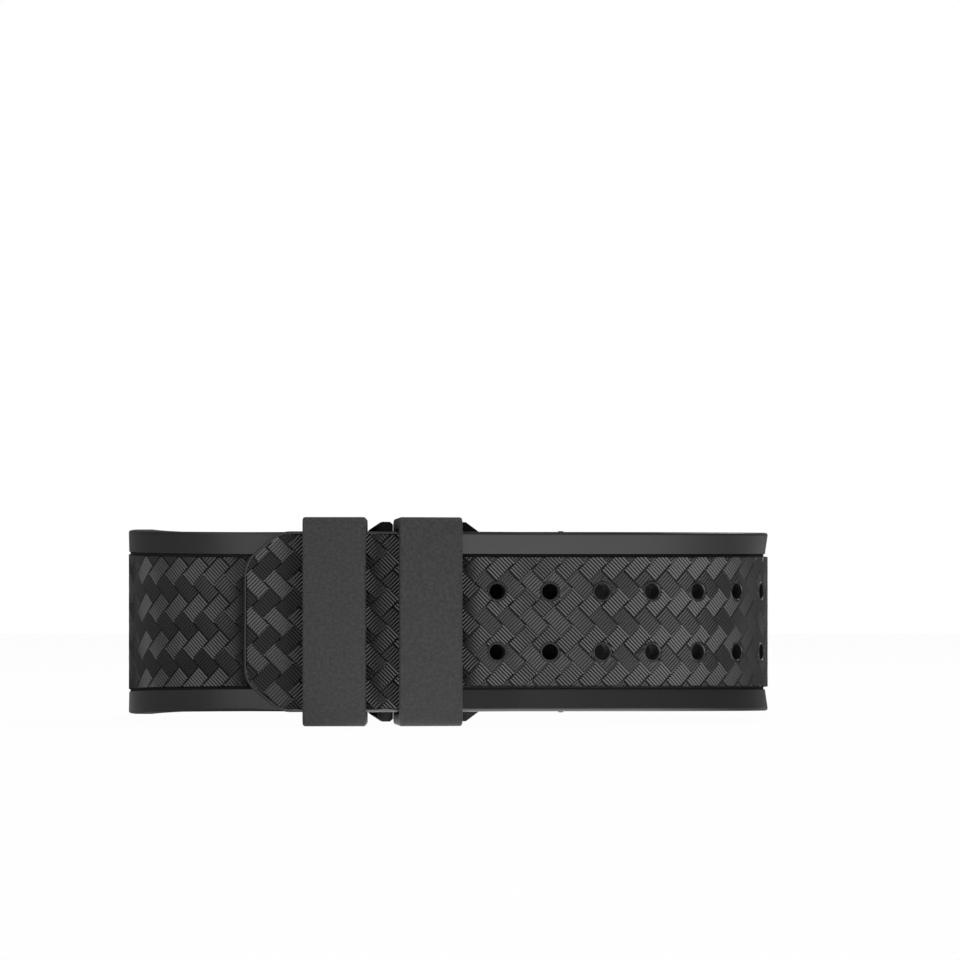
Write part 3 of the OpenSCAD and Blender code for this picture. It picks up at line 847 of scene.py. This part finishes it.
# What the rubber mirrors: painted light. The paper glows only within a sector in front of the strap,
# and brightest close to it, standing in for light from low in front. Angles are to the right of
# straight ahead, lengths in metres.
SECTOR_MIDDLE, SECTOR_DARK, SECTOR_BRIGHT = 15, 60, 35
NEAR_END, NEAR_FULL, NEAR_GLOW = 0.075, 0.055, 1.15
PAPER_GLOW, GLOW_SHARE = 1.03, 0.94

corners = [(x * FLOOR_HALF, y * FLOOR_HALF, FLOOR_Z) for x, y in ((-1, -1), (1, -1), (1, 1), (-1, 1))]
floor_mesh = bpy.data.meshes.new("floor")
floor_mesh.from_pydata(corners, [], [(0, 1, 2, 3)])
floor = put_in_scene("floor", floor_mesh)
paper = bpy.data.materials.new("white_paper_with_painted_glow")
paper.use_nodes = True
tree = paper.node_tree
sheet = tree.nodes["Principled BSDF"]
sheet.inputs["Base Color"].default_value = linear("#e6e6e6")
sheet.inputs["Roughness"].default_value = 0.9
glow = put(tree, "ShaderNodeEmission")
ray = put(tree, "ShaderNodeLightPath")
where = put(tree, "ShaderNodeTexCoord")
spot = put(tree, "ShaderNodeSeparateXYZ", Vector=where.outputs["Object"])
ahead = put(tree, "ShaderNodeMath", [("operation", "MULTIPLY"), (1, -1.0)], i0=spot.outputs["Y"])
turn = put(tree, "ShaderNodeMath", [("operation", "ARCTAN2")], i0=spot.outputs["X"], i1=ahead.outputs[0])
aside = put(tree, "ShaderNodeMath", [("operation", "SUBTRACT"), (1, math.radians(SECTOR_MIDDLE))],
            i0=turn.outputs[0])
aside = put(tree, "ShaderNodeMath", [("operation", "ABSOLUTE")], i0=aside.outputs[0])
# Painted glow: in reflections the paper glows only within a sector in front of the strap.
painted_glow_sector = put(tree, "ShaderNodeMapRange", [(1, math.radians(SECTOR_DARK)), (2, math.radians(SECTOR_BRIGHT))],
           i0=aside.outputs[0])
away = put(tree, "ShaderNodeVectorMath", [("operation", "LENGTH")], i0=where.outputs["Object"])
# Painted glow: in reflections the paper glows brighter close to the strap.
near = put(tree, "ShaderNodeMapRange", [(1, NEAR_END), (2, NEAR_FULL), (3, 0.0), (4, NEAR_GLOW)],
           i0=away.outputs["Value"])
near = put(tree, "ShaderNodeMath", [("operation", "MULTIPLY")], i0=near.outputs[0],
           i1=ray.outputs["Is Glossy Ray"])
near = put(tree, "ShaderNodeMath", [("operation", "ADD"), (1, PAPER_GLOW)], i0=near.outputs[0])
tree.links.new(near.outputs[0], glow.inputs["Strength"])
mirrored = put(tree, "ShaderNodeMath", [("operation", "MULTIPLY")], i0=painted_glow_sector.outputs[0],
               i1=ray.outputs["Is Glossy Ray"])
seen = put(tree, "ShaderNodeMath", [("operation", "MAXIMUM")], i0=ray.outputs["Is Camera Ray"],
           i1=mirrored.outputs[0])
seen = put(tree, "ShaderNodeMath", [("operation", "MAXIMUM")], i0=seen.outputs[0],
           i1=ray.outputs["Is Transmission Ray"])
share = put(tree, "ShaderNodeMath", [("operation", "MULTIPLY"), (1, GLOW_SHARE)], i0=seen.outputs[0])
mix = put(tree, "ShaderNodeMixShader", i0=share.outputs[0], i1=sheet.outputs[0], i2=glow.outputs[0])
tree.links.new(mix.outputs[0], tree.nodes["Material Output"].inputs[0])
floor_mesh.materials.append(paper)

scene = bpy.context.scene
world = bpy.data.worlds.new("studio")
scene.world = world
world.use_nodes = True
tree = world.node_tree
soft = tree.nodes["Background"]
soft.inputs["Color"].default_value = linear("#f4f4f4")
soft.inputs["Strength"].default_value = 0.18
white = put(tree, "ShaderNodeBackground", [("Color", (1, 1, 1, 1)), ("Strength", 1.0)])
ray = put(tree, "ShaderNodeLightPath")
seen = put(tree, "ShaderNodeMath", [("operation", "MAXIMUM")], i0=ray.outputs["Is Camera Ray"],
           i1=ray.outputs["Is Transmission Ray"])
mix = put(tree, "ShaderNodeMixShader", i0=seen.outputs[0], i1=soft.outputs[0], i2=white.outputs[0])
tree.links.new(mix.outputs[0], tree.nodes["World Output"].inputs[0])

LAMP_DISTANCE, LAMP_W = 0.9, 0.45
LAMP_AIM = (0, -0.01, MID_Z * MM)


def softbox(name, turn, rise, height, power):
    """A softbox that faces the strap, from a turn to the right and a rise in degrees."""
    data = bpy.data.lights.new(name, "AREA")
    data.shape, data.size, data.size_y, data.energy = "RECTANGLE", LAMP_W, height, power
    turn, rise = math.radians(turn), math.radians(rise)
    made = put_in_scene(name, data)
    made.location = (LAMP_DISTANCE * math.sin(turn) * math.cos(rise),
                     -LAMP_DISTANCE * math.cos(turn) * math.cos(rise), LAMP_DISTANCE * math.sin(rise))
    made.rotation_euler = (Vector(LAMP_AIM) - made.location).to_track_quat("-Z", "Y").to_euler()


softbox("key_softbox", -60, 45, 0.45, 0.75)
softbox("low_softbox", -30, 15, 0.45, 0.4)
softbox("front_softbox", 0, 47, 0.5, 1.0)
softbox("fill_softbox", 60, 45, 0.45, 0.3)
softbox("right_softbox", 120, 45, 0.45, 2.0)

# The camera stands in front of the strap, level with its middle line, as in the photograph.
lens = bpy.data.cameras.new("photo_camera")
lens.lens, lens.sensor_width = 115.7, 36
lens.shift_x, lens.shift_y = 0.0302, 0.1476
lens.clip_start = 0.01
camera = put_in_scene("photo_camera", lens)
camera.location = (0.00008, -0.399, MID_Z * MM)
camera.rotation_euler = (math.radians(90), 0, 0)
scene.camera = camera
scene.view_settings.view_transform = "Standard"
